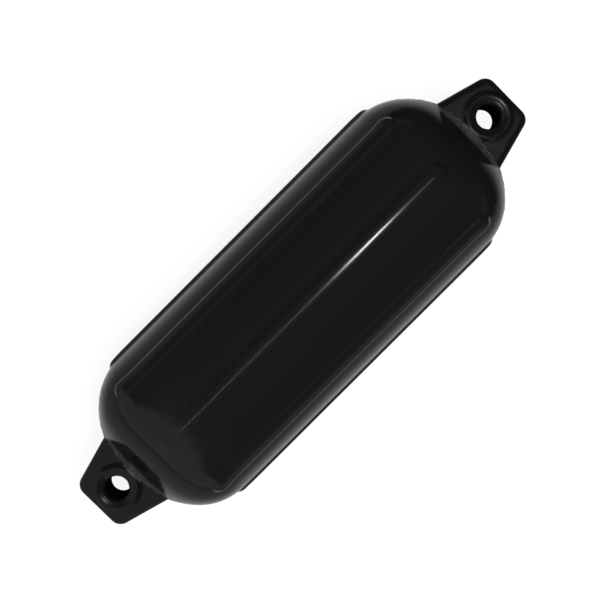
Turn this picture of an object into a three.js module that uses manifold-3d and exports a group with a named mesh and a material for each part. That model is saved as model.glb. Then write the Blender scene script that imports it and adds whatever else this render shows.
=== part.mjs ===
// A ribbed inflatable boat fender with a thick rope eye at each end, lying on one rib.
// Millimetres, +X along the fender, +Z up, origin on the ground under its middle.

import * as THREE from "three";
import { mergeVertices } from "three/addons/utils/BufferGeometryUtils.js";
import Module from "manifold-3d";

// Inflated body: a cylinder whose ends flatten into a nose as wide as the rope eye
const bodyRadius = 108;
const noseToNose = 557;
const domeLength = 82;
const noseHalfWidth = 55.4;
const noseHalfHeight = 28;
const noseSquareness = 3;
const nosePlanAngle = THREE.MathUtils.degToRad(57);
const noseSideAngle = THREE.MathUtils.degToRad(63);

// Ribs: low broad ridges along the body with round ends
const ribCount = 8;
const ribLength = 440;
const ribHeight = 4;
const ribFootWidth = 26;
const ribCrownWidth = 15;
const ribCrownCamber = 0.45;
const groundFlatDepth = 0.6;

// Rope eyes: tapered lugs, each with a raised ring around a hole with rounded lips
const lugReach = 64.5;
const lugThickness = 46;
const lugEndWidth = 70;
const lugSideAngle = THREE.MathUtils.degToRad(15.6);
const lugCornerRadius = 14.5;
const lugEdgeRadius = 8;
const lugRootDepth = 30;
const eyeRadius = 14;
const eyeFromLugEnd = 34.5;
const eyeLipRadius = 5;
const eyeRingWidth = 5.5;
const eyeRingHeight = 4;
const eyeRingSlope = 3;
const flareLength = 11;
const flareSink = 1.5;

// Inflation valve: a rubber plug in a round pad under one nose
const valveFromNose = 36;
const valvePadRadius = 13;
const valvePadHeight = 2;
const valvePadChamfer = 1.5;
const valveHeadRadius = 7.5;
const valveHeadThickness = 2.4;
const valveStemRadius = 5;
const valveStemLength = 15;
const valveBarbHeight = 0.9;
const valveBarbLength = 5;
const valveNeedleRadius = 0.9;
const valveNeedleDepth = 9;
const valveMouthRadius = 2.2;
const valveClearance = 0.3;

// How finely round shapes are divided
const domeRows = 11;
const rowGap = 1.5;
const crownStep = 0.6;
const flareSteps = [0.4, 1];
const gapColumns = 3;
const eyeSegments = 28;
const valveSegments = 24;
const arcSteps = 3;
const overrun = 2;

// Sizes that follow from the ones above
const noseX = noseToNose / 2;
const shoulderX = noseX - domeLength;
const axisHeight = bodyRadius + ribHeight - groundFlatDepth;
const ribFootHalf = ribFootWidth / 2;
const ribCrownHalf = ribCrownWidth / 2;
const ribRoundX = ribLength / 2 - ribFootHalf;
const lugEndX = noseX + lugReach;
const eyeX = lugEndX - eyeFromLugEnd;
const lugHalfThickness = lugThickness / 2;
const eyeHalfDepth = lugHalfThickness + eyeRingHeight;
const eyeMouthRadius = eyeRadius + eyeLipRadius;

const wasm = await Module();
wasm.setup();

// Turns a closed geometry into a solid that can be joined and cut
function toSolid(geometry) {
  const bare = geometry.clone();
  bare.deleteAttribute("normal");
  bare.deleteAttribute("uv");
  const merged = mergeVertices(bare, 1e-4);
  const corners = merged.index.array;
  const kept = [];
  for (let i = 0; i < corners.length; i += 3) {
    const [a, b, c] = [corners[i], corners[i + 1], corners[i + 2]];
    if (a !== b && b !== c && c !== a) kept.push(a, b, c);
  }
  const vertProperties = new Float32Array(merged.attributes.position.array);
  const triVerts = new Uint32Array(kept);
  return new wasm.Manifold(new wasm.Mesh({ numProp: 3, vertProperties, triVerts }));
}

// Turns a solid back into a geometry
function toGeometry(solid) {
  const mesh = solid.getMesh();
  const geometry = new THREE.BufferGeometry();
  geometry.setAttribute("position", new THREE.BufferAttribute(mesh.vertProperties, 3));
  geometry.setIndex(new THREE.BufferAttribute(mesh.triVerts, 1));
  geometry.computeVertexNormals();
  return geometry;
}

// A ring or disc turned around the Z axis from [radius, height] points
function turned(points, segments) {
  const outline = points.map(([radius, height]) => new THREE.Vector2(radius, height));
  return new THREE.LatheGeometry(outline, segments).rotateX(Math.PI / 2);
}

// Half-size of the body's section at x: no slope at the shoulder, the given angle at the nose
function noseCurve(x, noseHalfSize, noseAngle) {
  const along = THREE.MathUtils.clamp((x - shoulderX) / domeLength, 0, 1);
  const drop = bodyRadius - noseHalfSize;
  const run = domeLength * Math.tan(noseAngle);
  return bodyRadius - along ** 2 * (3 * drop - run + (run - 2 * drop) * along);
}

// Section of the body at x: half-width, half-height and how square it is
function bodySection(x) {
  const along = THREE.MathUtils.clamp((x - shoulderX) / domeLength, 0, 1);
  return {
    halfWidth: noseCurve(x, noseHalfWidth, nosePlanAngle),
    halfHeight: noseCurve(x, noseHalfHeight, noseSideAngle),
    power: 2 + (noseSquareness - 2) * along,
  };
}

// Distance from the axis to a section's edge, at an angle measured from straight up
function sectionRadius({ halfWidth, halfHeight, power }, angle) {
  const across = Math.abs(Math.sin(angle) / halfWidth) ** power;
  const upward = Math.abs(Math.cos(angle) / halfHeight) ** power;
  return (across + upward) ** (-1 / power);
}

// Height of a rib at a distance from its centre line: a cambered crown and sloping flanks
function ribProfile(distance) {
  const crownShare = Math.min(distance / ribCrownHalf, 1);
  const crown = ribHeight - ribCrownCamber * crownShare ** 2;
  const flank = (distance - ribCrownHalf) / (ribFootHalf - ribCrownHalf);
  return (crown * (1 + Math.cos(Math.PI * THREE.MathUtils.clamp(flank, 0, 1)))) / 2;
}

// Rows and columns that follow a rib's centre, crown, flank and foot
const ribFlankMiddle = (ribCrownHalf + ribFootHalf) / 2;
const ribSteps = [0, crownStep * ribCrownHalf, ribCrownHalf, ribFlankMiddle, ribFootHalf];

// Angles of the body's columns, each with its distance from its rib's centre line
function bodyColumns() {
  const pitch = (2 * Math.PI) / ribCount;
  const footAngle = ribFootHalf / bodyRadius;
  const columns = [];
  for (let rib = 0; rib < ribCount; rib += 1) {
    const offsets = [...ribSteps.slice(1).reverse().map((step) => -step), ...ribSteps];
    for (const offset of offsets) {
      columns.push({ angle: rib * pitch + offset / bodyRadius, offset });
    }
    for (let i = 1; i < gapColumns; i += 1) {
      const share = i / gapColumns;
      const angle = rib * pitch + footAngle + share * (pitch - 2 * footAngle);
      columns.push({ angle, offset: ribFootHalf });
    }
  }
  return columns;
}

// Sections from the middle to the end of the flare that runs out on the rope eye
function bodyRows() {
  const places = ribSteps.map((step) => ribRoundX + step);
  for (let i = 0; i <= domeRows; i += 1) {
    const x = shoulderX + (domeLength * i) / domeRows;
    if (places.every((other) => Math.abs(x - other) > rowGap)) places.push(x);
  }
  places.sort((a, b) => a - b);
  const rows = places.map((x) => ({ x, section: bodySection(x) }));
  const nose = bodySection(noseX);
  const sunkHeight = lugHalfThickness - flareSink;
  for (const share of flareSteps) {
    const settle = 1 - (1 - share) ** 2;
    const halfHeight = THREE.MathUtils.lerp(nose.halfHeight, sunkHeight, settle);
    const halfWidth = nose.halfWidth - (nose.halfHeight - sunkHeight) * share;
    rows.push({ x: noseX + flareLength * share, section: { ...nose, halfWidth, halfHeight } });
  }
  return rows;
}

// The ribbed body as one closed skin of rows and columns
function bodyGeometry() {
  const columns = bodyColumns();
  const half = bodyRows();
  const mirrored = half.map((row) => ({ ...row, x: -row.x })).reverse();
  const rows = [...mirrored, ...half];
  const points = [];
  for (const { x, section } of rows) {
    const past = Math.max(Math.abs(x) - ribRoundX, 0);
    for (const { angle, offset } of columns) {
      const radius = sectionRadius(section, angle) + ribProfile(Math.hypot(past, offset));
      points.push(x, radius * Math.sin(angle), radius * Math.cos(angle));
    }
  }
  const around = columns.length;
  const triangles = [];
  for (let row = 0; row + 1 < rows.length; row += 1) {
    for (let i = 0; i < around; i += 1) {
      const next = (i + 1) % around;
      const [a, b] = [row * around + i, row * around + next];
      triangles.push(a, b + around, b, a, a + around, b + around);
    }
  }
  const firstEnd = rows.length * around;
  const lastRow = firstEnd - around;
  points.push(rows[0].x, 0, 0, rows[rows.length - 1].x, 0, 0);
  for (let i = 0; i < around; i += 1) {
    const next = (i + 1) % around;
    triangles.push(firstEnd, i, next, firstEnd + 1, lastRow + next, lastRow + i);
  }
  const geometry = new THREE.BufferGeometry();
  geometry.setAttribute("position", new THREE.Float32BufferAttribute(points, 3));
  geometry.setIndex(triangles);
  return geometry;
}

// The rope eye's plate: a taper with two round corners and rounded edges
function lugPlate() {
  const slope = Math.tan(lugSideAngle);
  const halfWidthAt = (x) => lugEndWidth / 2 + slope * (lugEndX - x);
  const rootX = noseX - lugRootDepth;
  const cornerX = lugEndX - lugCornerRadius;
  const cornerY = halfWidthAt(cornerX) - lugCornerRadius / Math.cos(lugSideAngle);
  const turn = Math.PI / 2 - lugSideAngle;
  const outline = new THREE.Shape();
  outline.moveTo(rootX, halfWidthAt(rootX));
  outline.lineTo(rootX, -halfWidthAt(rootX));
  outline.absarc(cornerX, -cornerY, lugCornerRadius, -turn, 0, false);
  outline.absarc(cornerX, cornerY, lugCornerRadius, 0, turn, false);
  const plate = new THREE.ExtrudeGeometry(outline, {
    depth: lugThickness - 2 * lugEdgeRadius,
    bevelSize: lugEdgeRadius,
    bevelOffset: -lugEdgeRadius,
    bevelThickness: lugEdgeRadius,
    bevelSegments: arcSteps,
    curveSegments: arcSteps + 1,
  });
  return plate.translate(0, 0, lugEdgeRadius - lugHalfThickness);
}

// The raised ring around the eye, through the plate's whole thickness
function eyeRing() {
  const topRadius = eyeMouthRadius + eyeRingWidth;
  const footRadius = topRadius + eyeRingSlope;
  const ring = turned(
    [
      [0, -eyeHalfDepth],
      [topRadius, -eyeHalfDepth],
      [footRadius, -lugHalfThickness],
      [footRadius, lugHalfThickness],
      [topRadius, eyeHalfDepth],
      [0, eyeHalfDepth],
    ],
    eyeSegments
  );
  return ring.translate(eyeX, 0, 0);
}

// The shape of the hole: straight in the middle, with a quarter-round lip at each mouth
function eyeHole() {
  const upperHalf = [];
  for (let i = 0; i <= arcSteps; i += 1) {
    const turn = (i / arcSteps) * (Math.PI / 2);
    const radius = eyeMouthRadius - eyeLipRadius * Math.cos(turn);
    upperHalf.push([radius, eyeHalfDepth - eyeLipRadius * (1 - Math.sin(turn))]);
  }
  upperHalf.push([eyeMouthRadius, eyeHalfDepth + overrun], [0, eyeHalfDepth + overrun]);
  const lowerHalf = upperHalf.map(([radius, height]) => [radius, -height]).reverse();
  return turned([...lowerHalf, ...upperHalf], eyeSegments).translate(eyeX, 0, 0);
}

// Where the valve sits: on the nose's underside, square to its surface
function valvePlace() {
  const x = noseX - valveFromNose;
  const step = 0.5;
  const heightAt = (at) => noseCurve(at, noseHalfHeight, noseSideAngle);
  const fall = (heightAt(x - step) - heightAt(x + step)) / (2 * step);
  const tilt = Math.PI - Math.atan(fall);
  const place = new THREE.Matrix4().makeRotationY(tilt);
  return place.setPosition(x, 0, -heightAt(x));
}

// The round pad that holds the valve, rooted in the nose
function valvePad() {
  return turned(
    [
      [0, -valveStemLength],
      [valvePadRadius, -valveStemLength],
      [valvePadRadius, valvePadHeight - valvePadChamfer],
      [valvePadRadius - valvePadChamfer, valvePadHeight],
      [0, valvePadHeight],
    ],
    valveSegments
  );
}

// The stepped pocket that the valve is pushed into
function valvePocket() {
  const headSeat = valvePadHeight - valveHeadThickness - valveClearance;
  const floor = headSeat - valveStemLength - valveClearance;
  const stemRoom = valveStemRadius + valveBarbHeight + valveClearance;
  const headRoom = valveHeadRadius + valveClearance;
  return turned(
    [
      [0, floor],
      [stemRoom, floor],
      [stemRoom, headSeat],
      [headRoom, headSeat],
      [headRoom, valvePadHeight + overrun],
      [0, valvePadHeight + overrun],
    ],
    valveSegments
  );
}

// The rubber valve: a flush head, a stem with one barb and a blind hole for the pump's needle
function valveGeometry() {
  const headBase = valvePadHeight - valveHeadThickness;
  const stemEnd = headBase - valveStemLength;
  const barbBase = stemEnd + valveBarbLength;
  const barbRadius = valveStemRadius + valveBarbHeight;
  const mouthDepth = valveMouthRadius - valveNeedleRadius;
  return turned(
    [
      [0, stemEnd],
      [valveStemRadius - valveBarbHeight, stemEnd],
      [barbRadius, barbBase],
      [valveStemRadius, barbBase],
      [valveStemRadius, headBase],
      [valveHeadRadius, headBase],
      [valveHeadRadius, valvePadHeight],
      [valveMouthRadius, valvePadHeight],
      [valveNeedleRadius, valvePadHeight - mouthDepth],
      [valveNeedleRadius, valvePadHeight - valveNeedleDepth],
      [0, valvePadHeight - valveNeedleDepth],
    ],
    valveSegments
  );
}

// The moulded body: ribbed skin, two rope eyes, valve pad and pocket, and the flat it lies on
function fenderSolid() {
  let solid = toSolid(bodyGeometry());
  for (const turn of [0, Math.PI]) {
    solid = solid.add(toSolid(lugPlate().rotateZ(turn)));
    solid = solid.add(toSolid(eyeRing().rotateZ(turn)));
    solid = solid.subtract(toSolid(eyeHole().rotateZ(turn)));
  }
  const place = valvePlace();
  solid = solid.add(toSolid(valvePad().applyMatrix4(place)));
  solid = solid.subtract(toSolid(valvePocket().applyMatrix4(place)));
  const ground = new THREE.BoxGeometry(2 * lugEndX, 4 * bodyRadius, 2 * bodyRadius);
  return solid.subtract(toSolid(ground.translate(0, 0, -axisHeight - bodyRadius)));
}

function blackVinyl() {
  return new THREE.MeshStandardMaterial({ color: 0x17181a, roughness: 0.28, metalness: 0 });
}

function blackRubber() {
  return new THREE.MeshStandardMaterial({ color: 0x202122, roughness: 0.7, metalness: 0 });
}

const fenderBody = new THREE.Mesh(toGeometry(fenderSolid()), blackVinyl());
fenderBody.name = "fender_body";

const needleValve = new THREE.Mesh(toGeometry(toSolid(valveGeometry())), blackRubber());
needleValve.name = "needle_valve";
needleValve.applyMatrix4(valvePlace());

const fender = new THREE.Group();
fender.add(fenderBody, needleValve);
fender.position.z = axisHeight;

const part = new THREE.Group();
part.add(fender);

export default part;
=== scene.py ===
# A ribbed inflatable boat fender lying on a pale floor, seen from above.
# Metres, +X along the fender, +Z up, origin on the ground under its middle.

import math

import bmesh
import bpy
import numpy as np
from mathutils import Matrix, Vector, noise


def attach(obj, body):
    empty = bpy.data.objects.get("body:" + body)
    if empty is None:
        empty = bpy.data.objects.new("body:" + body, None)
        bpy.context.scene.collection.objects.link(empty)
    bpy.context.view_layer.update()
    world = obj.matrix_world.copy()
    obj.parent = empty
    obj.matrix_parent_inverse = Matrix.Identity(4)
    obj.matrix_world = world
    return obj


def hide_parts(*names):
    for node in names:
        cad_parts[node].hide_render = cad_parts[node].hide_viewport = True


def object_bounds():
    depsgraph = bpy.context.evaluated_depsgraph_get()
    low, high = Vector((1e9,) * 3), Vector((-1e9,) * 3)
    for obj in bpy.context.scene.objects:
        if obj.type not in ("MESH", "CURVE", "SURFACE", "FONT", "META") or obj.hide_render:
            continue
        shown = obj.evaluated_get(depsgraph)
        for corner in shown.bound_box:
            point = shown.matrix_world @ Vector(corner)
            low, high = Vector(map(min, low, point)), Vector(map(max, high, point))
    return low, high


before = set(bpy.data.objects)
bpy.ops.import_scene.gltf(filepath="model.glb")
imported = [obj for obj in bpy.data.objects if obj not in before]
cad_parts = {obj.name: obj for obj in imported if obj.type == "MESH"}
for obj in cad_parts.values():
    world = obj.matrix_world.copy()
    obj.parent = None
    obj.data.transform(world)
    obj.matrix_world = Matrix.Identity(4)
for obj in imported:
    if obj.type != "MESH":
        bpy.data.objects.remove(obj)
cad_low, cad_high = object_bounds()

# Inflated body
BODY_RADIUS = 0.108
DOME_LENGTH = 0.082
NOSE_HALF_WIDTH = 0.0554
NOSE_HALF_HEIGHT = 0.028
NOSE_SQUARENESS = 3.0
NOSE_PLAN_ANGLE = math.radians(57)
NOSE_SIDE_ANGLE = math.radians(63)

# Ribs
RIB_COUNT = 8
RIB_LENGTH = 0.440
RIB_HEIGHT = 0.004
RIB_FOOT_HALF = 0.014
RIB_CROWN_HALF = 0.007
RIB_CROWN_CAMBER = 0.0004

# Rope eyes
LUG_REACH = 0.0645
LUG_HALF_THICKNESS = 0.023
LUG_END_HALF_WIDTH = 0.035
LUG_SIDE_ANGLE = math.radians(15.6)
LUG_CORNER_RADIUS = 0.0145
LUG_EDGE_RADIUS = 0.008
LUG_ROOT_DEPTH = 0.030
EYE_RADIUS = 0.014
EYE_FROM_LUG_END = 0.0345
EYE_LIP_RADIUS = 0.005
EYE_RING_WIDTH = 0.0055
EYE_RING_HEIGHT = 0.004
EYE_RING_SLOPE = 0.006
EYE_RING_DISH = 0.0012

# Valve
VALVE_FROM_NOSE = 0.036
VALVE_PAD_RADIUS = 0.013
VALVE_PAD_HEIGHT = 0.002
VALVE_PAD_CHAMFER = 0.0015
VALVE_HEAD_RADIUS = 0.0075
VALVE_HEAD_THICKNESS = 0.0024
VALVE_HEAD_ROUNDING = 0.0005
VALVE_STEM_RADIUS = 0.005
VALVE_STEM_LENGTH = 0.015
VALVE_BARB_HEIGHT = 0.0009
VALVE_BARB_LENGTH = 0.005
VALVE_NEEDLE_RADIUS = 0.0009
VALVE_NEEDLE_DEPTH = 0.009
VALVE_MOUTH_RADIUS = 0.0022
VALVE_CLEARANCE = 0.0003

# Places that follow from the frame and the sizes above
LUG_END_X = cad_high.x
NOSE_X = LUG_END_X - LUG_REACH
SHOULDER_X = NOSE_X - DOME_LENGTH
AXIS_HEIGHT = cad_high.z - BODY_RADIUS - RIB_HEIGHT
RIB_ROUND_X = RIB_LENGTH / 2 - RIB_FOOT_HALF
EYE_X = LUG_END_X - EYE_FROM_LUG_END
EYE_MOUTH_RADIUS = EYE_RADIUS + EYE_LIP_RADIUS
EYE_HALF_DEPTH = LUG_HALF_THICKNESS + EYE_RING_HEIGHT

# Marks of the moulding and of the air inside
WAVE_HEIGHT = 0.00016
WAVE_LENGTH = 0.11
WAVES_AROUND = 2.2
PARTING_X = 0.2315
PARTING_HEIGHT = {1: 0.00042, -1: -0.00032}
PARTING_WIDTH = 0.0006
PARTING_SHARPNESS = 1.5
PARTING_SHARE = 0.3
PARTING_UNEVENNESS = 1.6
PARTING_BREAKS = 60
PARTING_SEED = 4
PARTING_SPAN = 1.6
PARTING_CLEARANCE = 2.2
CRUMPLE_HEIGHT = {1: 0.0018, -1: 0.0010}
CRUMPLE_REACH = 0.0055
CRUMPLE_GRAIN = 0.0030
CRUMPLE_STRETCH = 2.5
FINE_CRUMPLE_SHARE = 0.6
FINE_CRUMPLE_SCALE = 2.3
CRUMPLE_FROM = 0.034

# Flares where the nose runs out on each rope eye: reach in the middle and at the sides
FLARE_MIDDLE = {1: 0.0070, -1: 0.0050}
FLARE_SIDE = {1: 0.0035, -1: 0.0055}
FLARE_SINK = 0.0005
FLARE_SINK_AT_END = 0.001

# Faces narrower than this are merged into their neighbours
SLIVER_SIZE = 0.00002

# Colour of the vinyl and of the rope eyes, and a lighter colour painted as sheen on the dull fold beside
# them
VINYL_COLOUR = (0.0078, 0.0080, 0.0084, 1)
LUG_COLOUR = (0.0052, 0.0053, 0.0055, 1)
# much lighter than the vinyl: a painted sheen in the fold, not the vinyl's own colour
FOLD_PAINTED_SHEEN_COLOUR = (0.062, 0.063, 0.063, 1)
FOLD_ROUGHNESS = 0.36
FOLD_FROM = 0.256
FOLD_FULL = 0.273
FOLD_HEIGHT = 0.036
FOLD_FADE = 0.010
BLOTCH_SHARE = (0.40, 1.0)
BLOTCH_NOISE = (170, 2)
BLOTCH_NOISE_SPAN = (0.40, 0.60)

# Where the finish of the rope eyes begins: past the nose, the plate's root and its thickness
LUG_MASK_NOSE = (0.0045, 0.007)
LUG_MASK_ROOT = (0, 0.002)
LUG_MASK_PLATE = (0.0009, 0.0003)

# Finish of the vinyl, of the worn hole walls and of the rubber; a noise has a scale and a detail
POLYMER_IOR = 1.5
SPECULAR_LEVEL = 0.4
WORN_FROM = 0.0002
WORN_TO = 0.0025
VINYL_NOISE_SPAN = (0.35, 0.65)
GLOSS_ROUGHNESS = (0.11, 0.16)
GLOSS_NOISE = (9, 1)
SATIN_ROUGHNESS = (0.20, 0.27)
SATIN_NOISE = (60, 4)
RIPPLE_HEIGHT = 0.00006
RIPPLE_NOISE = (30, 2)
PEEL_HEIGHT = 0.000001
PEEL_NOISE = (900, 2)
RUBBER_COLOUR = (0.012, 0.012, 0.012, 1)
RUBBER_ROUGHNESS = (0.50, 0.68)
RUBBER_NOISE = (300, 3)
RUBBER_NOISE_SPAN = (0.3, 0.7)
RUBBER_GRAIN_HEIGHT = 0.00003
RUBBER_GRAIN_NOISE = (2500, 3)

# Points along and around the skin, the rope eyes and the turned pieces
CROWN_POINTS = 7
FLANK_POINTS = 8
GAP_POINTS = 16
BARREL_ROWS = 17
RIB_END_ROWS = 17
DOME_ROWS = 46
PARTING_ROWS = 9
FLARE_ROWS = 13
LUG_SEGMENTS = 168
HALVINGS = 40
RING_MARGIN = 0.001
RING_SHARE = 0.7
TURNED_SEGMENTS = 72
SHARP_ANGLE = math.radians(38)

# Camera: where it stands and looks, seen from the middle of the fender's axis
CAMERA_OFFSET = Vector((0.030, 0.062, 1.137))
CAMERA_LENS = 57.0
AIM_POINT = Vector((0.0013, 0.0030, 0.0))

# Floor: its size and colour, and a patch of it that glows only in reflections, a painted reflection, going
# dark past +X as painted shade in reflections
FLOOR_COLOUR = 0.20
FLOOR_HALF_SIZE = 12.0
FLOOR_DROP = 0.0001
PATCH_HALF_LENGTH = 0.20
PATCH_NEAR = 0.12
PATCH_FAR = 0.42
# glow of the painted reflection patch; past the dark edge the reflected floor is painted dark
PAINTED_REFLECTION_GLOW = 0.36
PAINTED_DARK_REFLECTION_EDGE = (0.40, 0.60)

# Sky in the gloss: dim at the horizon and dark overhead, with a paler side towards -X
HORIZON_LIGHT = 0.11
HORIZON_EDGE = (0.35, 0.70)
OVERHEAD_LIGHT = 0.012
OVERHEAD_FROM = 0.25
SIDE_LIGHT = 0.33
SIDE_FROM = 0.21
SIDE_EDGE = 0.05
SIDE_RISE = 0.10

# Lamps: an even key, and two strips above the crown whose long sides lie along X
KEY_STRENGTH = 3.0
KEY_ANGLE = math.radians(45)
KEY_PLACE = (0.3, -0.2, 3)
STRIP_Y = -0.09
STRIP_HEIGHT = 1.6
STRIP_TARGET_HEIGHT = 0.2
STRIPS = {
    "crown_strip": {"x": 0.19, "target_x": 0.09, "length": 0.13, "width": 0.07, "radiance": 75},
    "long_strip": {"x": 0.08, "target_x": 0.08, "length": 1.26, "width": 0.03, "radiance": 4},
}


def new_object(name, mesh):
    piece = bpy.data.objects.new(name, mesh)
    bpy.context.scene.collection.objects.link(piece)
    return piece


def grid_faces(rows, columns, close_rows=False):
    """Faces of a grid of points that closes on itself from its last column to its first."""
    faces = []
    for row in range(rows if close_rows else rows - 1):
        below = (row + 1) % rows
        for i in range(columns):
            j = (i + 1) % columns
            faces.append((row * columns + i, row * columns + j, below * columns + j, below * columns + i))
    return faces


def mesh_from(name, points, faces):
    mesh = bpy.data.meshes.new(name)
    mesh.from_pydata([tuple(p) for p in points], [], faces)
    mesh.validate()
    shaped = bmesh.new()
    shaped.from_mesh(mesh)
    bmesh.ops.recalc_face_normals(shaped, faces=shaped.faces)
    shaped.to_mesh(mesh)
    shaped.free()
    return mesh


def turned_mesh(name, profile, place):
    """A closed solid turned around Z from (radius, height) points that start and end on the axis."""
    segments = TURNED_SEGMENTS
    rings = profile[1:-1]
    points = [(0, 0, profile[0][1]), (0, 0, profile[-1][1])]
    for radius, height in rings:
        for i in range(segments):
            turn = 2 * math.pi * i / segments
            points.append((radius * math.cos(turn), radius * math.sin(turn), height))
    faces = [tuple(2 + k for k in face) for face in grid_faces(len(rings), segments)]
    last = 2 + (len(rings) - 1) * segments
    for i in range(segments):
        j = (i + 1) % segments
        faces.append((0, 2 + j, 2 + i))
        faces.append((1, last + i, last + j))
    mesh = mesh_from(name, points, faces)
    mesh.transform(place)
    return mesh


def nose_curve(x, nose_half_size, nose_angle):
    """Half-size of the body at x: no slope at the shoulder, the given angle at the nose."""
    along = np.clip((x - SHOULDER_X) / DOME_LENGTH, 0, 1)
    drop = BODY_RADIUS - nose_half_size
    run = DOME_LENGTH * math.tan(nose_angle)
    return BODY_RADIUS - along**2 * (3 * drop - run + (run - 2 * drop) * along)


def rib_profile(distance):
    """Height of a rib at a distance from its centre line: a cambered crown and sloping flanks."""
    crown_share = np.minimum(distance / RIB_CROWN_HALF, 1)
    crown = RIB_HEIGHT - RIB_CROWN_CAMBER * crown_share**2
    flank = np.clip((distance - RIB_CROWN_HALF) / (RIB_FOOT_HALF - RIB_CROWN_HALF), 0, 1)
    return crown * (1 + np.cos(np.pi * flank)) / 2


def body_columns():
    """Angles of the columns from straight up, and each one's distance from its rib's centre line."""
    crown = np.linspace(0, RIB_CROWN_HALF, CROWN_POINTS)
    flank = np.linspace(RIB_CROWN_HALF, RIB_FOOT_HALF, FLANK_POINTS)[1:]
    side = np.concatenate([crown, flank])
    offsets = np.concatenate([-side[:0:-1], side])
    pitch = 2 * math.pi / RIB_COUNT
    foot = RIB_FOOT_HALF / BODY_RADIUS
    gap = np.linspace(foot, pitch - foot, GAP_POINTS)[1:-1]
    angles, distances = [], []
    for rib in range(RIB_COUNT):
        angles += list(rib * pitch + offsets / BODY_RADIUS) + list(rib * pitch + gap)
        distances += list(np.abs(offsets)) + [RIB_FOOT_HALF] * len(gap)
    return np.array(angles), np.array(distances)


def body_rows():
    """Places of the rows of one half, dense at the rib ends, the parting line and the nose."""
    barrel = np.linspace(0, RIB_ROUND_X, BARREL_ROWS)[:-1]
    rib_end = np.linspace(RIB_ROUND_X, RIB_LENGTH / 2, RIB_END_ROWS)
    dome = np.linspace(RIB_LENGTH / 2, NOSE_X, DOME_ROWS)[1:]
    parting = PARTING_X + PARTING_WIDTH * np.linspace(-PARTING_SPAN, PARTING_SPAN, PARTING_ROWS)
    clear = dome[np.abs(dome - PARTING_X) > PARTING_CLEARANCE * PARTING_WIDTH]
    return np.sort(np.concatenate([barrel, rib_end, clear, parting]))


def skin_marks(x, angle, across, upward):
    """Small heights on the skin: slow waves, the parting line and the crumpled seam at the nose."""
    side = 1 if x > 0 else -1
    around = (WAVES_AROUND * math.cos(angle), WAVES_AROUND * math.sin(angle))
    wave = noise.noise(Vector((x / WAVE_LENGTH, *around)))
    height = WAVE_HEIGHT * (wave - 1)
    from_parting = (abs(x) - PARTING_X) / PARTING_WIDTH
    if abs(from_parting) < 2:
        place = Vector((x * PARTING_BREAKS / 3, across * PARTING_BREAKS, PARTING_SEED))
        share = max(PARTING_SHARE + PARTING_UNEVENNESS * noise.noise(place), 0)
        height += PARTING_HEIGHT[side] * share * math.exp(-(from_parting**2) * PARTING_SHARPNESS)
    from_seam = (abs(upward) - LUG_HALF_THICKNESS) / CRUMPLE_REACH
    if abs(from_seam) < 3 and abs(x) > NOSE_X - CRUMPLE_FROM:
        place = Vector((upward, across / CRUMPLE_STRETCH, x)) / CRUMPLE_GRAIN
        crumple = noise.noise(place) + FINE_CRUMPLE_SHARE * noise.noise(place * FINE_CRUMPLE_SCALE)
        height += CRUMPLE_HEIGHT[side] * crumple * math.exp(-(from_seam**2))
    return height


def body_points(angles, distances):
    """Rows of points of the whole skin, from the -X end to the +X end."""
    rows = []
    for side in (-1, 1):
        places = [(x, None) for x in body_rows()]
        places += [(NOSE_X, share) for share in np.linspace(0, 1, FLARE_ROWS)[1:]]
        if side == 1:
            places = places[1:]
        built = [body_row(side, x, share, angles, distances) for x, share in places]
        rows += built[::-1] if side == -1 else built
    return rows


def body_row(side, x, share, angles, distances):
    """One row: a section of the body, or of the flare when a share of it is given."""
    along = min(max((x - SHOULDER_X) / DOME_LENGTH, 0), 1)
    half_width = float(nose_curve(np.array(x), NOSE_HALF_WIDTH, NOSE_PLAN_ANGLE))
    half_height = float(nose_curve(np.array(x), NOSE_HALF_HEIGHT, NOSE_SIDE_ANGLE))
    power = 2 + (NOSE_SQUARENESS - 2) * along
    if share is not None:
        sunk = LUG_HALF_THICKNESS - FLARE_SINK - FLARE_SINK_AT_END * share
        half_width -= (half_height - sunk) * share
        half_height += (sunk - half_height) * share
    across = np.abs(np.sin(angles) / half_width) ** power
    upward = np.abs(np.cos(angles) / half_height) ** power
    radius = (across + upward) ** (-1 / power)
    past = max(x - RIB_ROUND_X, 0)
    radius = radius + rib_profile(np.hypot(past, distances))
    places = np.full(len(angles), x)
    if share is not None:
        middle = np.clip(1 - (radius * np.sin(angles) / NOSE_HALF_WIDTH) ** 2, 0, 1)
        places = x + share * (FLARE_SIDE[side] + (FLARE_MIDDLE[side] - FLARE_SIDE[side]) * middle)
    marks = [
        skin_marks(side * p, a, r * math.sin(a), r * math.cos(a)) for p, a, r in zip(places, angles, radius)
    ]
    radius = radius + np.array(marks)
    return np.stack([side * places, radius * np.sin(angles), radius * np.cos(angles)], axis=1)


def body_mesh():
    """The ribbed skin as one closed mesh around the fender's axis."""
    angles, distances = body_columns()
    rows = body_points(angles, distances)
    columns = len(angles)
    points = [p for row in rows for p in row]
    faces = grid_faces(len(rows), columns)
    for row in (0, len(rows) - 1):
        centre = len(points)
        points.append((rows[row][:, 0].mean(), 0, 0))
        start = row * columns
        faces += [(centre, start + i, start + (i + 1) % columns) for i in range(columns)]
    return mesh_from("fender_skin", points, faces)


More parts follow.
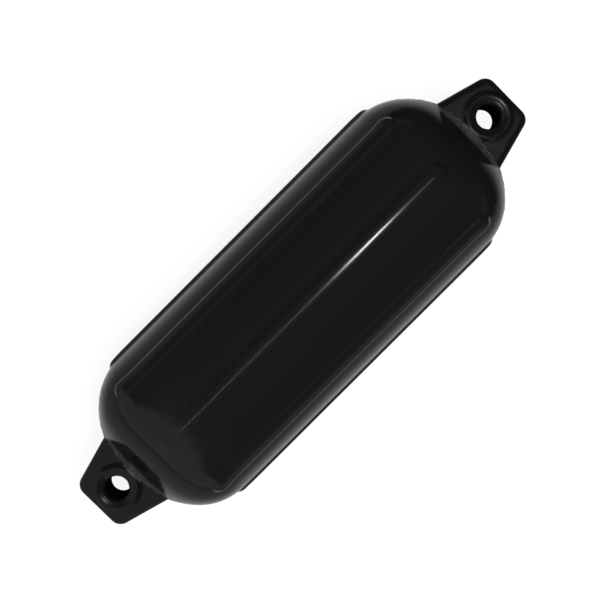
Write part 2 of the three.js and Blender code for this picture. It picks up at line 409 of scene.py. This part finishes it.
def lug_inset(x, y):
    """Distance from a point of the rope eye's plate to its outline, positive inside."""
    across = np.abs(y)
    slope = math.tan(LUG_SIDE_ANGLE)
    half_width = LUG_END_HALF_WIDTH + slope * (LUG_END_X - x)
    front = LUG_END_X - x
    flank = (half_width - across) * math.cos(LUG_SIDE_ANGLE)
    root = x - (NOSE_X - LUG_ROOT_DEPTH)
    corner_x = LUG_END_X - LUG_CORNER_RADIUS
    corner_half_width = LUG_END_HALF_WIDTH + slope * LUG_CORNER_RADIUS
    corner_y = corner_half_width - LUG_CORNER_RADIUS / math.cos(LUG_SIDE_ANGLE)
    turn = np.arctan2(across - corner_y, x - corner_x)
    in_corner = (turn > 0) & (turn < math.pi / 2 - LUG_SIDE_ANGLE)
    corner = LUG_CORNER_RADIUS - np.hypot(x - corner_x, across - corner_y)
    return np.where(in_corner, corner, np.minimum(np.minimum(front, flank), root))


def lug_reach(turns, inset):
    """How far the plate goes from the eye's centre at each angle, to a given inset of its outline."""
    near = np.full(len(turns), EYE_MOUTH_RADIUS)
    far = np.full(len(turns), 2 * LUG_REACH)
    for _ in range(HALVINGS):
        middle = (near + far) / 2
        inside = lug_inset(EYE_X + middle * np.cos(turns), middle * np.sin(turns)) > inset
        near = np.where(inside, middle, near)
        far = np.where(inside, far, middle)
    return near


def lug_top(radius, turns):
    """Height of the plate's upper face, with its rounded edge and the raised ring around the eye."""
    inset = lug_inset(EYE_X + radius * np.cos(turns), radius * np.sin(turns))
    short = np.clip(LUG_EDGE_RADIUS - inset, 0, LUG_EDGE_RADIUS)
    plate = LUG_HALF_THICKNESS - LUG_EDGE_RADIUS + np.sqrt(LUG_EDGE_RADIUS**2 - short**2)
    ring_edge = EYE_MOUTH_RADIUS + EYE_RING_WIDTH
    fall = np.clip((radius - ring_edge) / EYE_RING_SLOPE, 0, 1)
    dish = EYE_RING_DISH * np.clip((ring_edge - radius) / EYE_RING_WIDTH, 0, 1) ** 2
    return plate + EYE_RING_HEIGHT * (1 - fall**2 * (3 - 2 * fall)) - dish


def lug_mesh(name, side):
    """The rope eye as rings of points around its hole, from the hole's wall out to the rim and back."""
    segments = LUG_SEGMENTS
    turns = np.linspace(0, 2 * math.pi, segments, endpoint=False)
    outer = lug_reach(turns, 0)
    inner = lug_reach(turns, LUG_EDGE_RADIUS)
    ring_end = EYE_MOUTH_RADIUS + EYE_RING_WIDTH + EYE_RING_SLOPE + RING_MARGIN
    split = np.minimum(ring_end, EYE_MOUTH_RADIUS + RING_SHARE * (inner - EYE_MOUTH_RADIUS))
    loops = []
    wall_top = EYE_HALF_DEPTH - EYE_LIP_RADIUS - EYE_RING_DISH
    for height in np.linspace(0, wall_top, 4):
        loops.append((np.full(segments, EYE_RADIUS), np.full(segments, height)))
    for bend in np.linspace(0, math.pi / 2, 9)[1:]:
        radius = EYE_MOUTH_RADIUS - EYE_LIP_RADIUS * math.cos(bend)
        height = wall_top + EYE_LIP_RADIUS * math.sin(bend)
        loops.append((np.full(segments, radius), np.full(segments, height)))
    for share in np.linspace(0, 1, 15)[1:]:
        radius = EYE_MOUTH_RADIUS + share * (split - EYE_MOUTH_RADIUS)
        loops.append((radius, lug_top(radius, turns)))
    for share in np.linspace(0, 1, 9)[1:]:
        radius = split + share * (inner - split)
        loops.append((radius, lug_top(radius, turns)))
    for bend in np.linspace(0, math.pi / 2, 9)[1:]:
        radius = inner + (outer - inner) * math.sin(bend)
        loops.append((radius, lug_top(radius, turns)))
    rim = LUG_HALF_THICKNESS - LUG_EDGE_RADIUS
    for height in (rim / 2, 0):
        loops.append((outer, np.full(segments, height)))
    lower = [(radius, -height) for radius, height in loops[1:-1]][::-1]
    points = []
    for radius, height in loops + lower:
        x = side * (EYE_X + radius * np.cos(turns))
        points += list(zip(x, radius * np.sin(turns), height))
    return mesh_from(name, points, grid_faces(len(loops + lower), segments, close_rows=True))


def valve_place():
    """The valve's own frame: on the nose's underside, square to its surface."""
    x = NOSE_X - VALVE_FROM_NOSE
    step = 0.0005
    before, after = (nose_curve(np.array(x + d), NOSE_HALF_HEIGHT, NOSE_SIDE_ANGLE) for d in (-step, step))
    fall = float(before - after) / (2 * step)
    depth = float(nose_curve(np.array(x), NOSE_HALF_HEIGHT, NOSE_SIDE_ANGLE))
    tilt = Matrix.Rotation(math.pi - math.atan(fall), 4, "Y")
    return Matrix.Translation((x, 0, -depth)) @ tilt


def pad_profile():
    shoulder = VALVE_PAD_HEIGHT - VALVE_PAD_CHAMFER
    profile = [(0, -VALVE_STEM_LENGTH), (VALVE_PAD_RADIUS, -VALVE_STEM_LENGTH)]
    for bend in np.linspace(0, math.pi / 2, 7):
        radius = VALVE_PAD_RADIUS - VALVE_PAD_CHAMFER * (1 - math.cos(bend))
        profile.append((radius, shoulder + VALVE_PAD_CHAMFER * math.sin(bend)))
    return profile + [(0, VALVE_PAD_HEIGHT)]


def pocket_profile():
    head_seat = VALVE_PAD_HEIGHT - VALVE_HEAD_THICKNESS - VALVE_CLEARANCE
    floor = head_seat - VALVE_STEM_LENGTH - VALVE_CLEARANCE
    stem_room = VALVE_STEM_RADIUS + VALVE_BARB_HEIGHT + VALVE_CLEARANCE
    head_room = VALVE_HEAD_RADIUS + VALVE_CLEARANCE
    top = 2 * VALVE_PAD_HEIGHT
    profile = [(0, floor), (stem_room, floor), (stem_room, head_seat)]
    return profile + [(head_room, head_seat), (head_room, top), (0, top)]


def valve_profile():
    head_base = VALVE_PAD_HEIGHT - VALVE_HEAD_THICKNESS
    stem_end = head_base - VALVE_STEM_LENGTH
    barb_base = stem_end + VALVE_BARB_LENGTH
    barb_radius = VALVE_STEM_RADIUS + VALVE_BARB_HEIGHT
    rounding = VALVE_HEAD_ROUNDING
    profile = [(0, stem_end), (VALVE_STEM_RADIUS - VALVE_BARB_HEIGHT, stem_end), (barb_radius, barb_base)]
    profile += [(VALVE_STEM_RADIUS, barb_base), (VALVE_STEM_RADIUS, head_base)]
    profile += [(VALVE_HEAD_RADIUS, head_base)]
    for bend in np.linspace(0, math.pi / 2, 5):
        radius = VALVE_HEAD_RADIUS - rounding * (1 - math.cos(bend))
        profile.append((radius, VALVE_PAD_HEIGHT - rounding * (1 - math.sin(bend))))
    mouth_depth = VALVE_MOUTH_RADIUS - VALVE_NEEDLE_RADIUS
    for bend in np.linspace(0, math.pi / 2, 6):
        radius = VALVE_MOUTH_RADIUS - mouth_depth * math.sin(bend)
        profile.append((radius, VALVE_PAD_HEIGHT - mouth_depth * (1 - math.cos(bend))))
    hole_end = VALVE_PAD_HEIGHT - VALVE_NEEDLE_DEPTH
    return profile + [(VALVE_NEEDLE_RADIUS, hole_end), (0, hole_end)]


def combine(target, tool_mesh, operation):
    """Joins a closed mesh to the target, or cuts it out of it."""
    tool = new_object("tool", tool_mesh)
    change = target.modifiers.new("combine", "BOOLEAN")
    change.object = tool
    change.operation = operation
    change.solver = "EXACT"
    view = bpy.context.evaluated_depsgraph_get()
    old = target.data
    target.data = bpy.data.meshes.new_from_object(target.evaluated_get(view))
    target.modifiers.clear()
    bpy.data.meshes.remove(old)
    bpy.data.objects.remove(tool)
    bpy.data.meshes.remove(tool_mesh)


def finish_surface(piece):
    """Clears slivers, and sets smooth shading that keeps the sharp edges."""
    shaped = bmesh.new()
    shaped.from_mesh(piece.data)
    bmesh.ops.remove_doubles(shaped, verts=shaped.verts, dist=SLIVER_SIZE)
    bmesh.ops.dissolve_degenerate(shaped, dist=SLIVER_SIZE, edges=shaped.edges)
    for face in shaped.faces:
        face.smooth = True
    for edge in shaped.edges:
        edge.smooth = not (len(edge.link_faces) == 2 and edge.calc_face_angle() > SHARP_ANGLE)
    shaped.to_mesh(piece.data)
    shaped.free()


def settle_on_ground(mesh):
    """Flattens what would reach below the ground."""
    for vertex in mesh.vertices:
        vertex.co.z = max(vertex.co.z, 0)


def new_material(name):
    material = bpy.data.materials.new(name)
    material.use_nodes = True
    return material, material.node_tree, material.node_tree.nodes["Principled BSDF"]


def feed(tree, value, socket):
    """Gives a socket a constant, or the output of another node."""
    if isinstance(value, bpy.types.NodeSocket):
        tree.links.new(value, socket)
    else:
        socket.default_value = value


def math_node(tree, operation, *values):
    """One sum on constants or outputs of other nodes."""
    sum_node = tree.nodes.new("ShaderNodeMath")
    sum_node.operation = operation
    for value, socket in zip(values, sum_node.inputs):
        feed(tree, value, socket)
    return sum_node.outputs[0]


def product(tree, first, *others):
    """All the given values multiplied."""
    result = first
    for other in others:
        result = math_node(tree, "MULTIPLY", result, other)
    return result


def length_node(tree, first, second):
    """The length of a step made of two square parts."""
    squares = [math_node(tree, "POWER", part, 2) for part in (first, second)]
    return math_node(tree, "SQRT", math_node(tree, "ADD", *squares))


def mix_node(tree, kind, *values):
    """A blend by a share, the first value, of two numbers or colours."""
    blend = tree.nodes.new("ShaderNodeMix")
    blend.data_type = kind
    for value, socket in zip(values, [s for s in blend.inputs if s.enabled]):
        feed(tree, value, socket)
    return next(s for s in blend.outputs if s.enabled)


def ranged(tree, source, values, results, kind="LINEAR"):
    """The source between two values, spread over the range of results."""
    spread = tree.nodes.new("ShaderNodeMapRange")
    spread.interpolation_type = kind
    spread.inputs["From Min"].default_value, spread.inputs["From Max"].default_value = values
    spread.inputs["To Min"].default_value, spread.inputs["To Max"].default_value = results
    feed(tree, source, spread.inputs["Value"])
    return spread.outputs["Result"]


def step_node(tree, source, none_at, full_at):
    """A value that goes smoothly from 0 to 1 between two places."""
    return ranged(tree, source, (none_at, full_at), (0, 1), "SMOOTHSTEP")


def noise_node(tree, scale, detail):
    """Noise in the object's own space."""
    place = tree.nodes.new("ShaderNodeTexCoord")
    texture = tree.nodes.new("ShaderNodeTexNoise")
    texture.inputs["Scale"].default_value = scale
    texture.inputs["Detail"].default_value = detail
    feed(tree, place.outputs["Object"], texture.inputs["Vector"])
    return texture.outputs[0]


def bump_node(tree, source, height, under=None):
    """Relief of the given height, on top of another one if there is any."""
    bump = tree.nodes.new("ShaderNodeBump")
    bump.inputs["Distance"].default_value = height
    bump.inputs["Strength"].default_value = 1.0
    feed(tree, source, bump.inputs["Height"])
    if under is not None:
        feed(tree, under, bump.inputs["Normal"])
    return bump.outputs["Normal"]


def place_parts(tree, space):
    """X, Y and Z in the object's own space, or of the direction in the sky."""
    place = tree.nodes.new("ShaderNodeTexCoord")
    parts = tree.nodes.new("ShaderNodeSeparateXYZ")
    feed(tree, place.outputs[space], parts.inputs[0])
    return parts.outputs


def ray_kind(tree, name):
    """1 for rays of the named kind, 0 for the others."""
    return tree.nodes.new("ShaderNodeLightPath").outputs[name]


def seen_directly(tree):
    """1 for what the camera sees itself or through glass, 0 for reflections and light."""
    return math_node(tree, "MAXIMUM", ray_kind(tree, "Is Camera Ray"), ray_kind(tree, "Is Transmission Ray"))


def lug_mask(tree, from_middle, from_axis):
    """1 on the rope eyes, 0 on the inflated body."""
    past_nose = step_node(tree, from_middle, *(NOSE_X + edge for edge in LUG_MASK_NOSE))
    past_root = step_node(tree, from_middle, *(NOSE_X - LUG_ROOT_DEPTH + edge for edge in LUG_MASK_ROOT))
    in_plate = step_node(tree, from_axis, *(LUG_HALF_THICKNESS + edge for edge in LUG_MASK_PLATE))
    return math_node(tree, "MAXIMUM", past_nose, product(tree, past_root, in_plate))


def dull_fold_and_painted_sheen_mask(tree, from_middle, from_axis, on_lug):
    """Share of the dull fold beside each rope eye, in blotches, where a lighter colour is painted on as
    sheen.
    """
    past_dome = step_node(tree, from_middle, FOLD_FROM, FOLD_FULL)
    off_lug = step_node(tree, on_lug, 1, 0)
    near_plate = step_node(tree, from_axis, FOLD_HEIGHT + FOLD_FADE, FOLD_HEIGHT)
    blotches = ranged(tree, noise_node(tree, *BLOTCH_NOISE), BLOTCH_NOISE_SPAN, BLOTCH_SHARE)
    return product(tree, past_dome, off_lug, near_plate, blotches)


def specular_level(tree, from_middle, along_y):
    """None on the worn wall of each eye's hole, the full level from its lip outwards."""
    from_eye = math_node(tree, "SUBTRACT", from_middle, EYE_X)
    away = length_node(tree, from_eye, along_y)
    return ranged(tree, away, (EYE_RADIUS + WORN_FROM, EYE_RADIUS + WORN_TO), (0, SPECULAR_LEVEL))


def black_vinyl():
    """Near-black soft vinyl: a glossy body, satin rope eyes, and a dull fold between them with a painted
    sheen in a lighter colour.
    """
    material, tree, shader = new_material("black_vinyl")
    shader.inputs["IOR"].default_value = POLYMER_IOR
    along_x, along_y, along_z = place_parts(tree, "Object")
    from_middle = math_node(tree, "ABSOLUTE", along_x)
    from_axis = math_node(tree, "ABSOLUTE", math_node(tree, "SUBTRACT", along_z, AXIS_HEIGHT))
    on_lug = lug_mask(tree, from_middle, from_axis)
    dull_and_painted_sheen_share = dull_fold_and_painted_sheen_mask(tree, from_middle, from_axis, on_lug)
    gloss = ranged(tree, noise_node(tree, *GLOSS_NOISE), VINYL_NOISE_SPAN, GLOSS_ROUGHNESS)
    satin = ranged(tree, noise_node(tree, *SATIN_NOISE), VINYL_NOISE_SPAN, SATIN_ROUGHNESS)
    skin_finish = mix_node(tree, "FLOAT", dull_and_painted_sheen_share, gloss, FOLD_ROUGHNESS)
    feed(tree, mix_node(tree, "FLOAT", on_lug, skin_finish, satin), shader.inputs["Roughness"])
    # painted sheen: the fold takes a lighter colour in place of reflected light
    skin_colour = mix_node(tree, "RGBA", dull_and_painted_sheen_share, VINYL_COLOUR, FOLD_PAINTED_SHEEN_COLOUR)
    feed(tree, mix_node(tree, "RGBA", on_lug, skin_colour, LUG_COLOUR), shader.inputs["Base Color"])
    feed(tree, specular_level(tree, from_middle, along_y), shader.inputs["Specular IOR Level"])
    ripples = bump_node(tree, noise_node(tree, *RIPPLE_NOISE), RIPPLE_HEIGHT)
    peel = bump_node(tree, noise_node(tree, *PEEL_NOISE), PEEL_HEIGHT, ripples)
    feed(tree, peel, shader.inputs["Normal"])
    return material


def black_rubber():
    """Dull rubber with a fine grain."""
    material, tree, shader = new_material("black_rubber")
    shader.inputs["Base Color"].default_value = RUBBER_COLOUR
    shader.inputs["IOR"].default_value = POLYMER_IOR
    finish = ranged(tree, noise_node(tree, *RUBBER_NOISE), RUBBER_NOISE_SPAN, RUBBER_ROUGHNESS)
    feed(tree, finish, shader.inputs["Roughness"])
    grain = bump_node(tree, noise_node(tree, *RUBBER_GRAIN_NOISE), RUBBER_GRAIN_HEIGHT)
    feed(tree, grain, shader.inputs["Normal"])
    return material


def floor_material():
    """A pale floor, white to the camera; in reflections it shows a painted glowing patch near the fender and
    a painted dark +X side.
    """
    material = bpy.data.materials.new("floor")
    material.use_nodes = True
    tree = material.node_tree
    tree.nodes.clear()
    along_x, along_y, _ = place_parts(tree, "Object")
    past_end = math_node(tree, "SUBTRACT", math_node(tree, "ABSOLUTE", along_x), PATCH_HALF_LENGTH)
    away = length_node(tree, math_node(tree, "MAXIMUM", past_end, 0), along_y)
    # painted reflection: this part of the floor glows, seen only by glossy rays
    painted_reflection_patch = product(tree, step_node(tree, away, PATCH_FAR, PATCH_NEAR), PAINTED_REFLECTION_GLOW)
    glossy = ray_kind(tree, "Is Glossy Ray")
    painted_reflection = product(tree, glossy, painted_reflection_patch, step_node(tree, along_x, *PAINTED_DARK_REFLECTION_EDGE[::-1]))
    direct = product(tree, seen_directly(tree), 1 - FLOOR_COLOUR)
    glow = tree.nodes.new("ShaderNodeEmission")
    feed(tree, math_node(tree, "MAXIMUM", direct, painted_reflection), glow.inputs["Strength"])
    matt = tree.nodes.new("ShaderNodeBsdfDiffuse")
    matt.inputs["Color"].default_value = (FLOOR_COLOUR, FLOOR_COLOUR, FLOOR_COLOUR, 1)
    # painted dark reflection: past +X, glossy rays see the floor without its colour
    painted_dark_reflection_mix = tree.nodes.new("ShaderNodeMixShader")
    feed(tree, product(tree, glossy, step_node(tree, along_x, *PAINTED_DARK_REFLECTION_EDGE)), painted_dark_reflection_mix.inputs[0])
    feed(tree, matt.outputs[0], painted_dark_reflection_mix.inputs[1])
    both = tree.nodes.new("ShaderNodeAddShader")
    feed(tree, painted_dark_reflection_mix.outputs[0], both.inputs[0])
    feed(tree, glow.outputs[0], both.inputs[1])
    output = tree.nodes.new("ShaderNodeOutputMaterial")
    feed(tree, both.outputs[0], output.inputs["Surface"])
    return material


def make_floor():
    size = FLOOR_HALF_SIZE
    corners = [(-size, -size, 0), (size, -size, 0), (size, size, 0), (-size, size, 0)]
    mesh = bpy.data.meshes.new("floor")
    mesh.from_pydata(corners, [], [(0, 1, 2, 3)])
    floor = new_object("floor", mesh)
    floor.location.z = -FLOOR_DROP
    floor.data.materials.append(floor_material())


def make_world():
    """White to the camera; in the gloss dark, with a dim horizon and a paler side past the -X end."""
    world = bpy.data.worlds.new("studio")
    world.use_nodes = True
    tree = world.node_tree
    along_x, along_y, along_z = place_parts(tree, "Generated")
    low_down = step_node(tree, along_z, OVERHEAD_FROM, 0)
    off_ends = step_node(tree, math_node(tree, "ABSOLUTE", along_y), *HORIZON_EDGE)
    horizon = product(tree, low_down, off_ends, HORIZON_LIGHT)
    risen = step_node(tree, along_z, 0, SIDE_RISE)
    to_side = step_node(tree, along_x, -SIDE_FROM, -SIDE_FROM - SIDE_EDGE)
    side = product(tree, risen, to_side, SIDE_LIGHT)
    sky = math_node(tree, "ADD", math_node(tree, "ADD", horizon, OVERHEAD_LIGHT), side)
    background = tree.nodes["Background"]
    background.inputs["Color"].default_value = (1, 1, 1, 1)
    feed(tree, math_node(tree, "MAXIMUM", sky, seen_directly(tree)), background.inputs["Strength"])
    bpy.context.scene.world = world


def aim(thing, target, up):
    """Turns a lamp or camera towards a point, with its top towards up."""
    back = (thing.location - target).normalized()
    right = up.cross(back).normalized()
    turn = Matrix((right, back.cross(right), back)).transposed()
    thing.rotation_euler = turn.to_euler()


def soft_key():
    """An even soft light from above that leaves no spot of its own in the gloss."""
    lamp = bpy.data.lights.new("soft_key", "SUN")
    lamp.energy = KEY_STRENGTH
    lamp.angle = KEY_ANGLE
    key = new_object("soft_key", lamp)
    key.location = KEY_PLACE
    aim(key, Vector((0, 0, 0)), Vector((0, 1, 0)))
    key.visible_glossy = False


def strip_lamp(name, x, target_x, length, width, radiance):
    """A soft box above the crown, aimed at a point on it."""
    lamp = bpy.data.lights.new(name, "AREA")
    lamp.shape = "RECTANGLE"
    lamp.size = length
    lamp.size_y = width
    lamp.energy = radiance * math.pi * length * width
    box = new_object(name, lamp)
    box.location = (x, STRIP_Y, STRIP_HEIGHT)
    aim(box, Vector((target_x, 0, STRIP_TARGET_HEIGHT)), Vector((0, 1, 0)))


def make_camera():
    camera = new_object("camera", bpy.data.cameras.new("camera"))
    camera.data.lens = CAMERA_LENS
    axis_middle = Vector((0, 0, AXIS_HEIGHT))
    camera.location = axis_middle + CAMERA_OFFSET
    aim(camera, axis_middle + AIM_POINT, Vector((1, 1, 0)))
    bpy.context.scene.camera = camera


def make_fender():
    """The moulded body with its two rope eyes, the valve's pad and its pocket."""
    body = new_object("vinyl_body", body_mesh())
    for side in (1, -1):
        combine(body, lug_mesh("lug", side), "UNION")
    place = valve_place()
    combine(body, turned_mesh("pad", pad_profile(), place), "UNION")
    combine(body, turned_mesh("pocket", pocket_profile(), place), "DIFFERENCE")
    body.data.transform(Matrix.Translation((0, 0, AXIS_HEIGHT)))
    settle_on_ground(body.data)
    finish_surface(body)
    body.data.materials.clear()
    body.data.materials.append(black_vinyl())
    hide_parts("fender_body")
    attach(body, "root")


def make_valve():
    """The rubber plug that is pressed into the pad."""
    place = Matrix.Translation((0, 0, AXIS_HEIGHT)) @ valve_place()
    valve = new_object("rubber_valve", turned_mesh("rubber_valve", valve_profile(), place))
    finish_surface(valve)
    valve.data.materials.append(black_rubber())
    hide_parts("needle_valve")
    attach(valve, "root")


make_fender()
make_valve()
make_floor()
make_world()
soft_key()
for strip_name, strip in STRIPS.items():
    strip_lamp(strip_name, **strip)
make_camera()

bpy.context.scene.view_settings.view_transform = "Standard"
